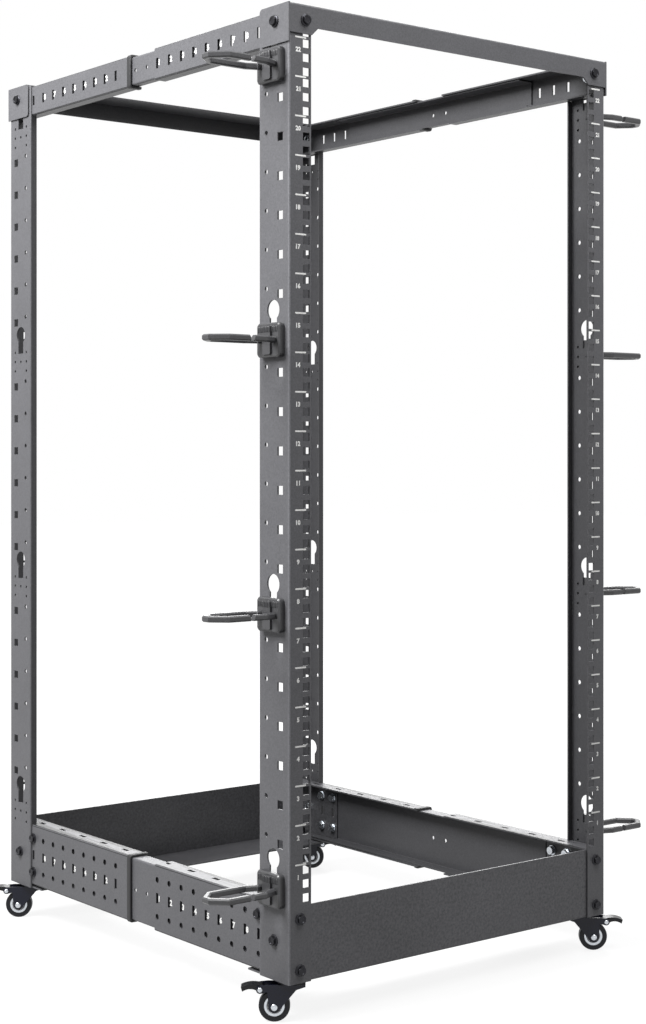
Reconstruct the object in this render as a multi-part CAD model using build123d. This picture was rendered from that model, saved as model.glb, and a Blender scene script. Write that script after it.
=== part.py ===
"""Four post open frame rack: four C-section posts, two top beams, two base panels, telescoping side
rails, cable rings on the front posts and four swivel casters with brake pedals.

Millimetres, +Z up. The origin is on the floor at the middle of the plan. The front faces -Y."""

import os

from build123d import *

# Equipment spacing: one rack unit, and the two columns of square holes.
UNITS = 22
UNIT_PITCH = 44.45
COLUMN_SPACING = 465.1
HOLE_INSET = 24.45
HOLE_STEP = 15.875
HOLE_SIDE = 9.5

# Overall frame.
BOTTOM_MARGIN = 89.4
TOP_MARGIN = 37.7
FRAME_DEPTH = 643.0
CASTER_HEIGHT = 48.0
SHEET = 2.0
BEND = 2.5
FIT = 0.3

# Posts.
POST_FLANGE = 31.5
POST_WEB = 57.0
POST_LIP = 9.5
WEB_SQUARE_SIDE = 10.0
WEB_SQUARE_INSET = 16.5
WEB_HOLE_RADIUS = 2.9
WEB_HOLE_INSET = 43.0
WEB_HOLE_RISE = 7.0
RING_UNIT_STEP = 7
KEYHOLE_INSET = 29.5
KEYHOLE_HEAD_RADIUS = 11.5
KEYHOLE_SLOT_WIDTH = 13.5
KEYHOLE_LENGTH = 37.0
KEYHOLE_RISE = 16.0
CLUSTER_HOLE_RADIUS = 1.9
CLUSTER_HALF_WIDTH = 15.5
CLUSTER_PITCH = 12.9
CLUSTER_DROP = 10.0

# Clearance holes for the screws that hold the corners together.
SCREW_HOLE_RADIUS = 3.3
SCREW_DROP = 18.0
TOP_SCREW_INSET = 22.0
TOP_SIDE_SCREW_INSET = 24.0
BASE_SCREW_INSET = 16.0
BASE_SCREW_MARGIN = 14.5
BASE_SIDE_SCREW_INSET = 28.0

# Top beams.
BEAM_FACE = 25.0
BEAM_TAB = 33.5
BEAM_FLANGE = 50.0
BEAM_SIDE = 55.0
BEAM_SIDE_HEIGHT = 44.0
BEAM_ROUNDING = 5.0
TAB_CHAMFER = 9.0

# Base panels.
PANEL_HEIGHT = 87.0
PANEL_FLANGE = 80.0
PANEL_SIDE = 96.0

# Side rails.
TOP_RAIL_DROP = 1.5
TOP_RAIL_HEIGHT = 40.0
TOP_RAIL_UPPER_FLANGE = 30.0
TOP_RAIL_LOWER_FLANGE = 16.0
BASE_RAIL_LIFT = 2.0
BASE_RAIL_FLANGE = 26.0
FRONT_SECTION_END = 279.0
TOP_TONGUE_START = 127.0
TONGUE_GAP = 2.0
TONGUE_TRIM = 3.0
SLEEVE_START = 335.0
SLOT_COUNT = 9
SLOT_PITCH = 26.5
SLOT_WIDTH = 5.0
SLOT_LENGTH = 13.0
SLOT_INSET = 61.0
TONGUE_HOLE_RADIUS = 2.6
TONGUE_HOLE_COUNT = 2
RAIL_HOLE_RADIUS = 3.6
RAIL_HOLE_ROW = 23.0
SCREWED_COLUMNS = 2
FLANGE_SLOT_INSET = 15.0

# Cable rings.
RING_DROP = 7.7
RING_PLATE_HEIGHT = 39.0
RING_PLATE_WIDTH = 43.0
RING_PLATE_THICK = 8.0
RING_PLATE_ROUNDING = 5.0
RING_BOSS_WIDTH = 15.0
RING_BOSS_MARGIN = 3.0
RING_BOSS_RISE = 2.5
RING_BAR = 7.0
RING_BAR_CHAMFER = 1.6
RING_REACH = 94.0
RING_LOOP_WIDTH = 46.0
RING_SHOULDER = 17.0
RING_SLIT = 3.5
RING_SLIT_FLARE = 7.5
RING_SLIT_REACH = 45.0

# Casters, about a stem axis, with the wheel trailing along the caster's own +X.
STEM_INSET_X = 17.0
STEM_INSET_Y = 25.0
STEM_RADIUS = 4.0
STEM_RISE = 14.0
COLLAR_RADIUS = 11.0
COLLAR_THICK = 4.8
KINGPIN_HEAD_RADIUS = 6.0
KINGPIN_HEAD_THICK = 2.0
WHEEL_RADIUS = 18.0
WHEEL_WIDTH = 12.0
TREAD_ROUNDING = 2.0
HUB_RADIUS = 12.0
HUB_WEB = 5.0
HUB_RIM = 4.0
HUB_BOSS = 3.0
HUB_RECESS = 0.5
AXLE_RADIUS = 3.0
RUNNING_FIT = 0.08
WHEEL_TRAIL = 15.0
FORK_SHEET = 2.0
FORK_SIDE_GAP = 2.0
FORK_NOSE = 20.5
FORK_DECK_END = 6.0
FORK_EYE_RADIUS = 6.6
FORK_SHOULDER_FRONT = 10.0
FORK_SHOULDER_BACK = 23.0
FORK_SHOULDER_DROP = 5.5
PEDAL_PIVOT_X = 31.2
PEDAL_PIVOT_Z = 37.6
PEDAL_PIVOT_RADIUS = 2.0
PEDAL_LUG_RADIUS = 4.4
PEDAL_REACH = 53.0
PEDAL_TOP = 42.8
PEDAL_THICK = 5.0
PEDAL_TIP_DROP = 3.0
PEDAL_SIDE_GAP = 0.5
CASTER_TURN = 38.35

FRAME_WIDTH = COLUMN_SPACING + 2 * HOLE_INSET
FRAME_HEIGHT = BOTTOM_MARGIN + UNITS * UNIT_PITCH + TOP_MARGIN
HALF_WIDTH = FRAME_WIDTH / 2
HALF_DEPTH = FRAME_DEPTH / 2
TOP_RAIL_FOOT = FRAME_HEIGHT - SHEET - TOP_RAIL_DROP - TOP_RAIL_HEIGHT
BASE_RAIL_FOOT = SHEET + BASE_RAIL_LIFT
BASE_RAIL_HEIGHT = PANEL_HEIGHT - BASE_RAIL_FOOT
BASE_RAIL_MIDDLE = BASE_RAIL_FOOT + BASE_RAIL_HEIGHT / 2
TOP_SCREW_HEIGHT = FRAME_HEIGHT - SCREW_DROP
RAIL_FACE = SHEET + FIT
RAIL_START = 2 * SHEET + FIT
RING_UNITS = range(1, UNITS + 1, RING_UNIT_STEP)
SIDES = {"left": 1, "right": -1}
ENDS = {"front": 1, "rear": -1}
FLIPPED_RINGS = ("right_cable_ring_3",)


def box(x0, x1, y0, y1, z0, z1):
    """A block between two corners, as a solid."""
    return Pos((x0 + x1) / 2, (y0 + y1) / 2, (z0 + z1) / 2) * Box(x1 - x0, y1 - y0, z1 - z0)


def block(x0, x1, y0, y1):
    """A rectangle between two corners, as a sketch."""
    return Pos((x0 + x1) / 2, (y0 + y1) / 2) * Rectangle(x1 - x0, y1 - y0)


def plate_cut(outline, normal, depth=2 * SHEET + FIT):
    """A cutter for a sheet that lies on a coordinate plane: the outline, pushed both ways."""
    return extrude(outline, amount=depth, dir=normal, both=True)


def side_plane(x):
    """The plane of a web: its own x runs along +Y and its own y along +Z."""
    return Plane(origin=(x, 0, 0), x_dir=(0, 1, 0), z_dir=(1, 0, 0))


def front_plane(y):
    """The plane of a front face: its own x runs along +X and its own y along +Z."""
    return Plane(origin=(0, y, 0), x_dir=(1, 0, 0), z_dir=(0, -1, 0))


def at(points, outline):
    """The same outline at each of many points."""
    return Sketch() + [Pos(*point) * outline for point in points]


def screw_holes(points):
    """Clearance holes at each of many points, as a sketch."""
    return at(points, Circle(SCREW_HOLE_RADIUS))


def unit_middle(unit):
    """Height of a rack unit's middle above the foot of the post; unit 1 is the lowest."""
    return BOTTOM_MARGIN + (unit - 0.5) * UNIT_PITCH


def base_screw_heights():
    """Heights of the two screws through the front of a base panel."""
    return [BASE_SCREW_MARGIN, PANEL_HEIGHT - BASE_SCREW_MARGIN]


def keyhole(unit):
    """A round head over a narrower slot, on a post's web."""
    head = unit_middle(unit) + UNIT_PITCH / 2 + KEYHOLE_RISE - KEYHOLE_HEAD_RADIUS
    foot = head + KEYHOLE_HEAD_RADIUS - KEYHOLE_LENGTH
    slot = Pos(KEYHOLE_INSET, (head + foot) / 2) * Rectangle(KEYHOLE_SLOT_WIDTH, head - foot)
    return Pos(KEYHOLE_INSET, head) * Circle(KEYHOLE_HEAD_RADIUS) + slot


def cluster(unit):
    """Seven small holes under a keyhole: two columns of three and one in the middle."""
    middle = unit_middle(unit) - CLUSTER_DROP
    points = [(KEYHOLE_INSET, middle)]
    for side in (-1, 1):
        for row in (-1, 0, 1):
            points.append((KEYHOLE_INSET + side * CLUSTER_HALF_WIDTH, middle + row * CLUSTER_PITCH))
    return at(points, Circle(CLUSTER_HOLE_RADIUS))


def post_section():
    """The folded section of a post, outer corner at the origin: flange, web and return lip."""
    outline = [
        (0, 0), (POST_FLANGE, 0), (POST_FLANGE, SHEET), (SHEET, SHEET), (SHEET, POST_WEB - SHEET),
        (POST_LIP, POST_WEB - SHEET), (POST_LIP, POST_WEB), (0, POST_WEB),
    ]
    section = make_face(Polyline(*outline, close=True))
    section = fillet([v for v in section.vertices() if abs(v.X) < FIT], BEND)
    inside = [v for v in section.vertices() if abs(v.X - SHEET) < FIT / 10 and SHEET <= v.Y <= POST_WEB - SHEET]
    return fillet(inside, BEND - SHEET)


def make_post():
    """The front left post, foot at z = 0 and outer corner at x = y = 0."""
    post = extrude(post_section(), amount=FRAME_HEIGHT - SHEET)
    lip_front = POST_WEB - SHEET - FIT
    for low, high in ((-SHEET, PANEL_HEIGHT), (TOP_RAIL_FOOT - FIT, FRAME_HEIGHT)):
        post -= box(RAIL_FACE, POST_LIP + SHEET, lip_front, POST_WEB + SHEET, low, high)

    rows = [unit_middle(unit) + step * HOLE_STEP for unit in range(1, UNITS + 1) for step in (-1, 0, 1)]
    rows.append(unit_middle(UNITS + 1) - HOLE_STEP)
    openings = at([(HOLE_INSET, row) for row in rows], Rectangle(HOLE_SIDE, HOLE_SIDE))
    openings += screw_holes([(BASE_SCREW_INSET, height) for height in base_screw_heights()])
    openings += screw_holes([(TOP_SCREW_INSET, TOP_SCREW_HEIGHT)])
    post -= plate_cut(front_plane(0) * openings, (0, 1, 0))

    plain = [unit for unit in range(1, UNITS + 1) if unit not in RING_UNITS]
    openings = at([(WEB_SQUARE_INSET, unit_middle(unit)) for unit in plain],
                  Rectangle(WEB_SQUARE_SIDE, WEB_SQUARE_SIDE))
    openings += at([(WEB_HOLE_INSET, unit_middle(unit) + WEB_HOLE_RISE) for unit in plain],
                   Circle(WEB_HOLE_RADIUS))
    for unit in RING_UNITS:
        openings += keyhole(unit)
        openings += cluster(unit)
    openings += screw_holes([(TOP_SIDE_SCREW_INSET, TOP_SCREW_HEIGHT), (BASE_SIDE_SCREW_INSET, BASE_RAIL_MIDDLE)])
    post -= plate_cut(side_plane(0) * openings, (1, 0, 0))
    return post


def make_top_beam():
    """The front top beam, top face at z = 0 and outer left corner of the frame at x = y = 0."""
    width = FRAME_WIDTH
    beam = box(-SHEET, width + SHEET, -SHEET, BEAM_FLANGE - SHEET, -SHEET, 0)
    tab_reach = POST_FLANGE + TAB_CHAMFER
    face_points = [
        (-SHEET, 0), (width + SHEET, 0), (width + SHEET, -BEAM_TAB), (width - POST_FLANGE, -BEAM_TAB),
        (width - tab_reach, -BEAM_FACE), (tab_reach, -BEAM_FACE), (POST_FLANGE, -BEAM_TAB),
        (-SHEET, -BEAM_TAB),
    ]
    beam += extrude(front_plane(0) * make_face(Polyline(*face_points, close=True)), amount=SHEET)
    folded = [edge for edge in beam.edges().filter_by(Axis.X)
              if abs(edge.center().Z) < FIT and abs(edge.center().Y + SHEET) < FIT]
    beam = fillet(folded, BEND)
    flange = block(-SHEET, BEAM_SIDE - SHEET, -BEAM_SIDE_HEIGHT, 0)
    flange = fillet([v for v in flange.vertices() if v.X > 0], BEAM_ROUNDING)
    for x0 in (-SHEET, width):
        beam += extrude(side_plane(x0) * flange, amount=SHEET)
    fronts = [(x, -SCREW_DROP) for x in (TOP_SCREW_INSET, width - TOP_SCREW_INSET)]
    beam -= plate_cut(front_plane(0) * screw_holes(fronts), (0, 1, 0))
    for x0 in (0, width):
        beam -= plate_cut(side_plane(x0) * screw_holes([(TOP_SIDE_SCREW_INSET, -SCREW_DROP)]), (1, 0, 0))
    return beam


def slot_columns(count=SLOT_COUNT):
    """Distances from the end of the frame to the columns of slots of one rail section."""
    return [SLOT_INSET + SLOT_PITCH * index for index in range(count)]


def base_pattern(columns, screw):
    """The openings of a base rail's web: slots with a round hole above and below each, and a screw hole."""
    middle = BASE_RAIL_MIDDLE
    pattern = at([(column, middle) for column in columns], Rectangle(SLOT_WIDTH, SLOT_LENGTH))
    for row in (-RAIL_HOLE_ROW, RAIL_HOLE_ROW):
        pattern += at([(column, middle + row) for column in columns], Circle(RAIL_HOLE_RADIUS))
    return pattern + screw_holes([(screw, middle)])


def make_base_panel():
    """The front base panel, foot at z = 0, behind the posts' front flanges."""
    low = BEND + FIT
    high = FRAME_WIDTH - low
    front = SHEET
    panel = box(low, high, front, front + SHEET, 0, PANEL_HEIGHT)
    panel += box(low, high, front, front + PANEL_FLANGE, 0, SHEET)
    folded = [edge for edge in panel.edges().filter_by(Axis.X)
              if abs(edge.center().Z) < FIT and abs(edge.center().Y - front) < FIT]
    panel = fillet(folded, BEND)
    fronts = [(x, height) for x in (BASE_SCREW_INSET, FRAME_WIDTH - BASE_SCREW_INSET)
              for height in base_screw_heights()]
    panel -= plate_cut(front_plane(0) * screw_holes(fronts), (0, 1, 0))
    side_low = RAIL_FACE + SHEET + FIT
    pattern = base_pattern(slot_columns(SCREWED_COLUMNS), BASE_SIDE_SCREW_INSET)
    side = block(front, front + PANEL_SIDE, BASE_RAIL_FOOT + SHEET + FIT, PANEL_HEIGHT - SHEET - FIT) - pattern
    for x0 in (side_low, FRAME_WIDTH - side_low - SHEET):
        panel += extrude(side_plane(x0) * side, amount=SHEET)
    stem = Pos(STEM_INSET_X, STEM_INSET_Y, 0) * Cylinder(STEM_RADIUS + FIT, 4 * SHEET)
    panel -= stem
    panel -= Pos(FRAME_WIDTH - 2 * STEM_INSET_X, 0, 0) * stem
    return panel


def rail_section(inset, height, foot, upper, lower):
    """A folded C section that opens towards +X, drawn in the plane of X and Z."""
    x0 = RAIL_FACE + inset
    z0 = foot + inset
    z1 = foot + height - inset
    outline = [
        (x0, z0), (x0 + lower, z0), (x0 + lower, z0 + SHEET), (x0 + SHEET, z0 + SHEET),
        (x0 + SHEET, z1 - SHEET), (x0 + upper, z1 - SHEET), (x0 + upper, z1), (x0, z1),
    ]
    section = make_face(Polyline(*outline, close=True))
    section = fillet([v for v in section.vertices() if abs(v.X - x0) < FIT], BEND)
    inside = [v for v in section.vertices() if abs(v.X - x0 - SHEET) < FIT / 10]
    return fillet(inside, BEND - SHEET)


def rail_length(section, y0, y1):
    """A rail section carried from one distance to another."""
    return extrude(Plane(origin=(0, y1, 0), x_dir=(1, 0, 0), z_dir=(0, -1, 0)) * section, amount=y1 - y0)


def make_rail(height, foot, upper, lower, tongue_start):
    """The two plain sections of a left rail and the tongue that joins them, which is fast in the front one.

    The tongue is one sheet thickness smaller all round, so it slides in the rear section, the sleeve.
    """
    outer = rail_section(0, height, foot, upper, lower)
    inner = rail_section(SHEET, height, foot, upper - SHEET - TONGUE_TRIM, lower - SHEET - TONGUE_TRIM)
    front = rail_length(outer, RAIL_START, FRONT_SECTION_END)
    tongue = rail_length(inner, tongue_start, FRAME_DEPTH - tongue_start)
    sleeve = rail_length(outer, SLEEVE_START, FRAME_DEPTH - RAIL_START)
    middle = foot + height / 2
    last = slot_columns()[-1]
    holes = at([(last + SLOT_PITCH * (index + 1), middle) for index in range(TONGUE_HOLE_COUNT)],
               Circle(TONGUE_HOLE_RADIUS))
    tongue -= plate_cut(side_plane(RAIL_FACE + SHEET) * holes, (1, 0, 0))
    return front, tongue, sleeve


def both_ends(front, sleeve, pattern, plane, normal):
    """The front section and the sleeve, each with the same openings counted from its own end."""
    turned = mirror(pattern, about=Plane.YZ)
    front -= plate_cut(plane * pattern, normal)
    sleeve -= plate_cut(plane * (Pos(FRAME_DEPTH, 0) * turned), normal)
    return front, sleeve


def make_top_rail():
    """The front and rear pieces of the left top rail."""
    front, tongue, sleeve = make_rail(TOP_RAIL_HEIGHT, TOP_RAIL_FOOT, TOP_RAIL_UPPER_FLANGE,
                                      TOP_RAIL_LOWER_FLANGE, TOP_TONGUE_START)
    middle = TOP_RAIL_FOOT + TOP_RAIL_HEIGHT / 2
    pattern = at([(column, middle) for column in slot_columns()], Rectangle(SLOT_WIDTH, SLOT_LENGTH))
    pattern += screw_holes([(TOP_SIDE_SCREW_INSET, TOP_SCREW_HEIGHT)])
    front, sleeve = both_ends(front, sleeve, pattern, side_plane(0), (1, 0, 0))
    return front + tongue, sleeve


def make_base_rail():
    """The front and rear pieces of the left base rail."""
    tongue_start = SHEET + PANEL_SIDE + TONGUE_GAP
    front, tongue, sleeve = make_rail(BASE_RAIL_HEIGHT, BASE_RAIL_FOOT, BASE_RAIL_FLANGE,
                                      BASE_RAIL_FLANGE, tongue_start)
    pattern = base_pattern(slot_columns(), BASE_SIDE_SCREW_INSET)
    front, sleeve = both_ends(front, sleeve, pattern, side_plane(0), (1, 0, 0))
    top = Plane(origin=(0, 0, PANEL_HEIGHT), x_dir=(0, 1, 0), z_dir=(0, 0, -1))
    slots = at([(column, RAIL_FACE + FLANGE_SLOT_INSET) for column in slot_columns()[::2]],
               Rectangle(SLOT_LENGTH, SLOT_WIDTH))
    front, sleeve = both_ends(front, sleeve, slots, top, (0, 0, 1))
    stem = Pos(STEM_INSET_X, STEM_INSET_Y, BASE_RAIL_FOOT) * Cylinder(STEM_RADIUS + FIT, 4 * SHEET)
    front -= stem
    sleeve -= Pos(0, FRAME_DEPTH - 2 * STEM_INSET_Y, 0) * stem
    return front + tongue, sleeve


def ring_slit():
    """The slit through a ring's front bar: wider at the top of the bar than at its foot."""
    half = RING_BAR / 2
    wide = RING_SLIT_FLARE / 2
    narrow = RING_SLIT / 2
    outline = [
        (-RING_SLIT_REACH - wide, half), (-RING_SLIT_REACH + wide, half),
        (-RING_SLIT_REACH + narrow, -half), (-RING_SLIT_REACH - narrow, -half),
    ]
    front = -RING_LOOP_WIDTH / 2
    return extrude(front_plane(front + RING_BAR) * make_face(Polyline(*outline, close=True)),
                   amount=2 * RING_BAR)


def make_ring(unit, flipped):
    """One left cable ring: a rounded plate with a boss, and a flat six-sided loop of chamfered bar."""
    plate = extrude(side_plane(0) * RectangleRounded(RING_PLATE_WIDTH, RING_PLATE_HEIGHT, RING_PLATE_ROUNDING),
                    amount=-RING_PLATE_THICK)
    plate = chamfer(plate.faces().sort_by(Axis.X)[0].edges(), RING_BAR_CHAMFER)
    boss_height = RING_PLATE_HEIGHT - 2 * RING_BOSS_MARGIN
    boss = side_plane(-RING_PLATE_THICK) * RectangleRounded(RING_BOSS_WIDTH, boss_height, RING_BOSS_RISE)
    plate += extrude(boss, amount=-RING_BOSS_RISE)

    half = RING_LOOP_WIDTH / 2
    near = -RING_PLATE_THICK
    far = -RING_REACH
    outline = [
        (near, half - RING_BAR), (near - RING_SHOULDER, half), (far + RING_SHOULDER, half),
        (far, half - RING_SHOULDER), (far, RING_SHOULDER - half), (far + RING_SHOULDER, -half),
        (near - RING_SHOULDER, -half), (near, RING_BAR - half),
    ]
    solid = make_face(Polyline(*outline, close=True))
    hole = offset(solid, amount=-RING_BAR, kind=Kind.INTERSECTION)
    hole += Pos(near, 0) * Rectangle(2 * RING_BAR, RING_LOOP_WIDTH - 4 * RING_BAR)
    loop = Pos(0, 0, -RING_BAR / 2) * extrude(solid - hole, amount=RING_BAR)
    rims = [edge for edge in loop.edges() if abs(edge.center().X - near) > FIT and abs(edge.center().Z) > FIT]
    loop = chamfer(rims, RING_BAR_CHAMFER) - ring_slit()
    ring = plate + loop
    if flipped:
        ring = Rot(180, 0, 0) * ring
    return Pos(0, KEYHOLE_INSET, unit_middle(unit) - RING_DROP) * ring


def fork_cheek(top):
    """One side plate of a fork in the plane of X and Z: an eye at the axle, shoulders, a nose and a lug."""
    foot = top - FORK_SHOULDER_DROP
    eye = Pos(WHEEL_TRAIL, WHEEL_RADIUS) * Circle(FORK_EYE_RADIUS)
    shoulders = block(-FORK_SHOULDER_FRONT, FORK_SHOULDER_BACK, foot, top)
    cheek = make_hull(eye.edges() + shoulders.edges())
    nose = [(-FORK_NOSE, top), (-FORK_NOSE, top - FORK_SHEET), (-FORK_SHOULDER_FRONT, foot), (0, foot), (0, top)]
    cheek += make_face(Polyline(*nose, close=True))
    lug = Pos(PEDAL_PIVOT_X, PEDAL_PIVOT_Z) * Circle(PEDAL_LUG_RADIUS)
    strap = block(WHEEL_TRAIL, FORK_SHOULDER_BACK, foot, top)
    return cheek + make_hull(lug.edges() + strap.edges())


def pedal_outline():
    """A brake pedal in the plane of X and Z: a pierced eye and a bowed arm that droops at its tip."""
    middle = (PEDAL_PIVOT_X + PEDAL_REACH) / 2
    tip = PEDAL_TOP - PEDAL_TIP_DROP
    low_tip = (PEDAL_REACH - PEDAL_TIP_DROP / 2, tip - PEDAL_THICK)
    crown = ThreePointArc((PEDAL_PIVOT_X, PEDAL_PIVOT_Z + PEDAL_LUG_RADIUS), (middle, PEDAL_TOP),
                          (PEDAL_REACH, tip))
    belly = ThreePointArc(low_tip, (middle, PEDAL_TOP - PEDAL_THICK),
                          (PEDAL_PIVOT_X, PEDAL_PIVOT_Z - PEDAL_LUG_RADIUS))
    end = Line((PEDAL_REACH, tip), low_tip)
    heel = Line(belly @ 1, crown @ 0)
    eye = Pos(PEDAL_PIVOT_X, PEDAL_PIVOT_Z) * Circle(PEDAL_LUG_RADIUS)
    hole = Pos(PEDAL_PIVOT_X, PEDAL_PIVOT_Z) * Circle(PEDAL_PIVOT_RADIUS + RUNNING_FIT)
    return make_face([crown, end, belly, heel]) + eye - hole


def make_wheel():
    """The tyre and the hub of a caster, on its axle."""
    def ring_between(inner, outer, width):
        return Pos((inner + outer) / 2, 0) * Rectangle(outer - inner, width)

    bore = AXLE_RADIUS + RUNNING_FIT
    tyre = revolve(ring_between(HUB_RADIUS, WHEEL_RADIUS, WHEEL_WIDTH), Axis.Y)
    tyre = fillet(tyre.edges().filter_by(GeomType.CIRCLE).group_by(SortBy.RADIUS)[-1], TREAD_ROUNDING)
    hub = ring_between(bore, HUB_RADIUS, HUB_WEB)
    hub += ring_between(HUB_RADIUS - HUB_RIM, HUB_RADIUS, WHEEL_WIDTH - 2 * HUB_RECESS)
    hub += ring_between(bore, bore + HUB_BOSS, WHEEL_WIDTH)
    centre = Pos(WHEEL_TRAIL, 0, WHEEL_RADIUS)
    return centre * tyre, centre * revolve(hub, Axis.Y)


def upright(y):
    """A plane of X and Z at a distance along a caster's own Y, that faces -Y."""
    return Plane(origin=(0, y, 0), x_dir=(1, 0, 0), z_dir=(0, -1, 0))


def make_caster():
    """The pieces of one caster, about its stem, at its own height above the floor."""
    seat = CASTER_HEIGHT
    deck_top = seat - COLLAR_THICK - FIT
    deck_foot = deck_top - FORK_SHEET
    head_foot = deck_foot - FIT - KINGPIN_HEAD_THICK
    mount = Pos(0, 0, seat - COLLAR_THICK / 2) * Cylinder(COLLAR_RADIUS, COLLAR_THICK)
    mount += Pos(0, 0, (head_foot + seat + STEM_RISE) / 2) * Cylinder(STEM_RADIUS, seat + STEM_RISE - head_foot)
    mount += Pos(0, 0, head_foot + KINGPIN_HEAD_THICK / 2) * Cylinder(KINGPIN_HEAD_RADIUS, KINGPIN_HEAD_THICK)

    inner = WHEEL_WIDTH / 2 + FORK_SIDE_GAP
    outer = inner + FORK_SHEET
    fork = box(-FORK_NOSE, FORK_DECK_END, -outer, outer, deck_foot, deck_top)
    for y1 in (-inner, outer):
        fork += extrude(upright(y1) * fork_cheek(deck_top), amount=FORK_SHEET)
    fork -= Pos(0, 0, deck_foot) * Cylinder(STEM_RADIUS + RUNNING_FIT, 4 * FORK_SHEET)
    for x, z, radius in ((WHEEL_TRAIL, WHEEL_RADIUS, AXLE_RADIUS),
                         (PEDAL_PIVOT_X, PEDAL_PIVOT_Z, PEDAL_PIVOT_RADIUS)):
        fork += Pos(x, 0, z) * Rot(90, 0, 0) * Cylinder(radius, 2 * outer)

    tyre, hub = make_wheel()
    pedal_half = inner - PEDAL_SIDE_GAP
    pedal = extrude(upright(pedal_half) * pedal_outline(), amount=2 * pedal_half)
    return {"mount": mount, "fork": fork, "tyre": tyre, "hub": hub, "pedal": pedal}


def placed(shape, side, end):
    """A piece drawn for the front left corner, carried to any corner by mirroring."""
    moved = Pos(-HALF_WIDTH, -HALF_DEPTH, CASTER_HEIGHT) * shape
    if side == "right":
        moved = mirror(moved, about=Plane.YZ)
    if end == "rear":
        moved = mirror(moved, about=Plane.XZ)
    return moved


def build():
    """Every sub-part by name."""
    parts = {}
    post = make_post()
    for side in SIDES:
        for end in ENDS:
            parts[f"{end}_{side}_post"] = placed(post, side, end)

    beam = Pos(0, 0, FRAME_HEIGHT) * make_top_beam()
    panel = make_base_panel()
    for end in ENDS:
        parts[f"{end}_top_beam"] = placed(beam, "left", end)
        parts[f"{end}_base_panel"] = placed(panel, "left", end)

    rails = {"top": make_top_rail(), "base": make_base_rail()}
    for side in SIDES:
        for level, sections in rails.items():
            for part, shape in zip(("front", "rear"), sections):
                parts[f"{side}_{level}_rail_{part}"] = placed(shape, side, "front")

    for side in SIDES:
        for number, unit in enumerate(RING_UNITS, 1):
            name = f"{side}_cable_ring_{number}"
            parts[name] = placed(make_ring(unit, name in FLIPPED_RINGS), side, "front")

    caster = make_caster()
    for end, end_sign in ENDS.items():
        for side, side_sign in SIDES.items():
            stem = Pos(-side_sign * (HALF_WIDTH - STEM_INSET_X), -end_sign * (HALF_DEPTH - STEM_INSET_Y), 0)
            turn = 180 - CASTER_TURN if side == "left" else -CASTER_TURN
            for piece, shape in caster.items():
                parts[f"{end}_{side}_caster_{piece}"] = stem * Rot(0, 0, turn) * shape
    return parts


def main():
    os.makedirs("parts", exist_ok=True)
    for name, shape in build().items():
        export_step(shape, f"parts/{name}.step")


main()
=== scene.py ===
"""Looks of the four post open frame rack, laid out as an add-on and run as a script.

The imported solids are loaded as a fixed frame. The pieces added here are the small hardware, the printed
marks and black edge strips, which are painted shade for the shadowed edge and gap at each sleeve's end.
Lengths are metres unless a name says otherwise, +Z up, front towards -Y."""

import bmesh
import bpy
import numpy as np
from bpy.props import FloatProperty, FloatVectorProperty, PointerProperty
from mathutils import Euler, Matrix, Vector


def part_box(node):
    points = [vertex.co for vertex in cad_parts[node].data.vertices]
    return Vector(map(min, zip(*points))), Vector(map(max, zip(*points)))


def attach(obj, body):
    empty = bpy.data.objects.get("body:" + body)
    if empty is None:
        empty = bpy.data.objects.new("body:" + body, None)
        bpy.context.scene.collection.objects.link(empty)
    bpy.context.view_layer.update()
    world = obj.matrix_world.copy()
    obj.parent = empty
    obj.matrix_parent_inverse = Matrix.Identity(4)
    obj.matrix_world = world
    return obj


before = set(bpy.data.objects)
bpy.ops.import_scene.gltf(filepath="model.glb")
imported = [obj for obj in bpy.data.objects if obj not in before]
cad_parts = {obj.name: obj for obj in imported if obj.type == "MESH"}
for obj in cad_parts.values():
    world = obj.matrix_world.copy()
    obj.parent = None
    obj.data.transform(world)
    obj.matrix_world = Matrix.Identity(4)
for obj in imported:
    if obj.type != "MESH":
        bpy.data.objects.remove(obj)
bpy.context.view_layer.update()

bl_info = {
    "name": "Open frame rack finishes",
    "version": (1, 0, 0),
    "blender": (4, 5, 0),
    "location": "View3D > Sidebar > Rack",
    "description": "Hardware, printed marks, coatings and stage for a four post open frame rack",
    "category": "Object",
}

MM = 0.001

# The corner of the rack, read from the frame.
POST_LOW, POST_HIGH = (np.array(corner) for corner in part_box("front_left_post"))
HALF_WIDTH = -POST_LOW[0]
HALF_DEPTH = -POST_LOW[1]
FOOT = POST_LOW[2]
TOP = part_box("front_top_beam")[1][2]

# Sizes that the solids were made to, in millimetres from a post's outer corner and foot.
SHEET_MM = 2.0
RAIL_FACE_MM = 2.3
PANEL_SIDE_FACE_MM = 6.6
UNITS = 22
UNIT_MM = 44.45
FIRST_UNIT_MM = 89.4
COLUMN_MM = 61.0
COLUMN_PITCH_MM = 26.5
COLUMNS = 9
BASE_MIDDLE_MM = 45.5
BASE_ROW_MM = 23.0
TOP_SCREW_DROP_MM = 18.0
SLEEVE_START_MM = 335.0
GAP_MIDDLE_MM = 307.0
GAP_HALF_MM = 29.0
RING_PLATE_MM = 8.0
RING_HALF_MM = 19.5
RING_BOSS_HALF_MM = 7.5
RING_BOSS_RISE_MM = 2.5
STEM_X_MM = 17.0
STEM_Y_MM = 25.0
CHEEK_FACE_MM = 10.0
WHEEL_FACE_MM = 5.5
TOP_FRONT_SCREW_MM = 22.0
TOP_SIDE_SCREW_MM = 24.0
BASE_FRONT_SCREW_MM = 16.0
BASE_FRONT_SCREW_HEIGHTS_MM = (14.5, 72.5)
BASE_SIDE_SCREW_MM = 28.0

# How far the wheel's axle and the pedal's pin lie from the caster's stem, and their height over the floor.
AXLE_MM = (15.0, 18.0)
PEDAL_PIN_MM = (31.2, 37.6)

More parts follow.
